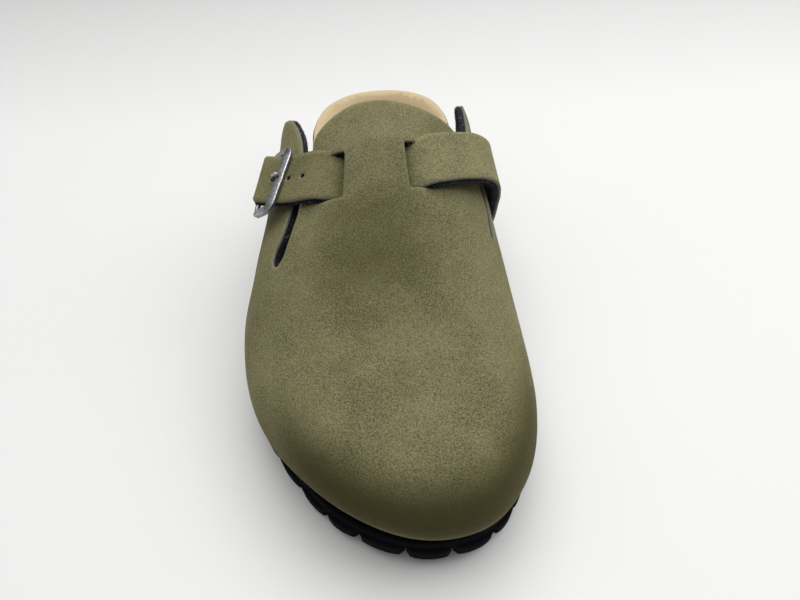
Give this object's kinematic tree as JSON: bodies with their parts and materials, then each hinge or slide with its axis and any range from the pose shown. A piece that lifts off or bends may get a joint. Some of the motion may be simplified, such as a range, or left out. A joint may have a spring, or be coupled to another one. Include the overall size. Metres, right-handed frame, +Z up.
{
  "type": "clog slipper",
  "caption": "Backless clog slipper for the right foot: olive microfibre upper, buckled strap through two slots, cork footbed, black lugged outsole.",
  "frame": {"origin": "centre of the bounding box on the ground under the sole", "axes": "-Y towards the toe, +Y towards the heel, +X towards the inner (big toe) side, +Z up"},
  "size_m": [0.119, 0.2582, 0.095],
  "materials": {
    "olive_microfibre": "napped",
    "cork": "granular",
    "beige_lining": "fine nap",
    "black_foam_rubber": "matte",
    "aged_silver": "antique, pitted"
  },
  "bodies": {
    "root": {"outsole": "black_foam_rubber", "footbed": "cork", "insole": "beige_lining", "upper": "olive_microfibre", "strap": "olive_microfibre", "buckle_frame": "aged_silver", "buckle_prong": "aged_silver", "buckle_tab": "olive_microfibre"}
  },
  "joints": []
}
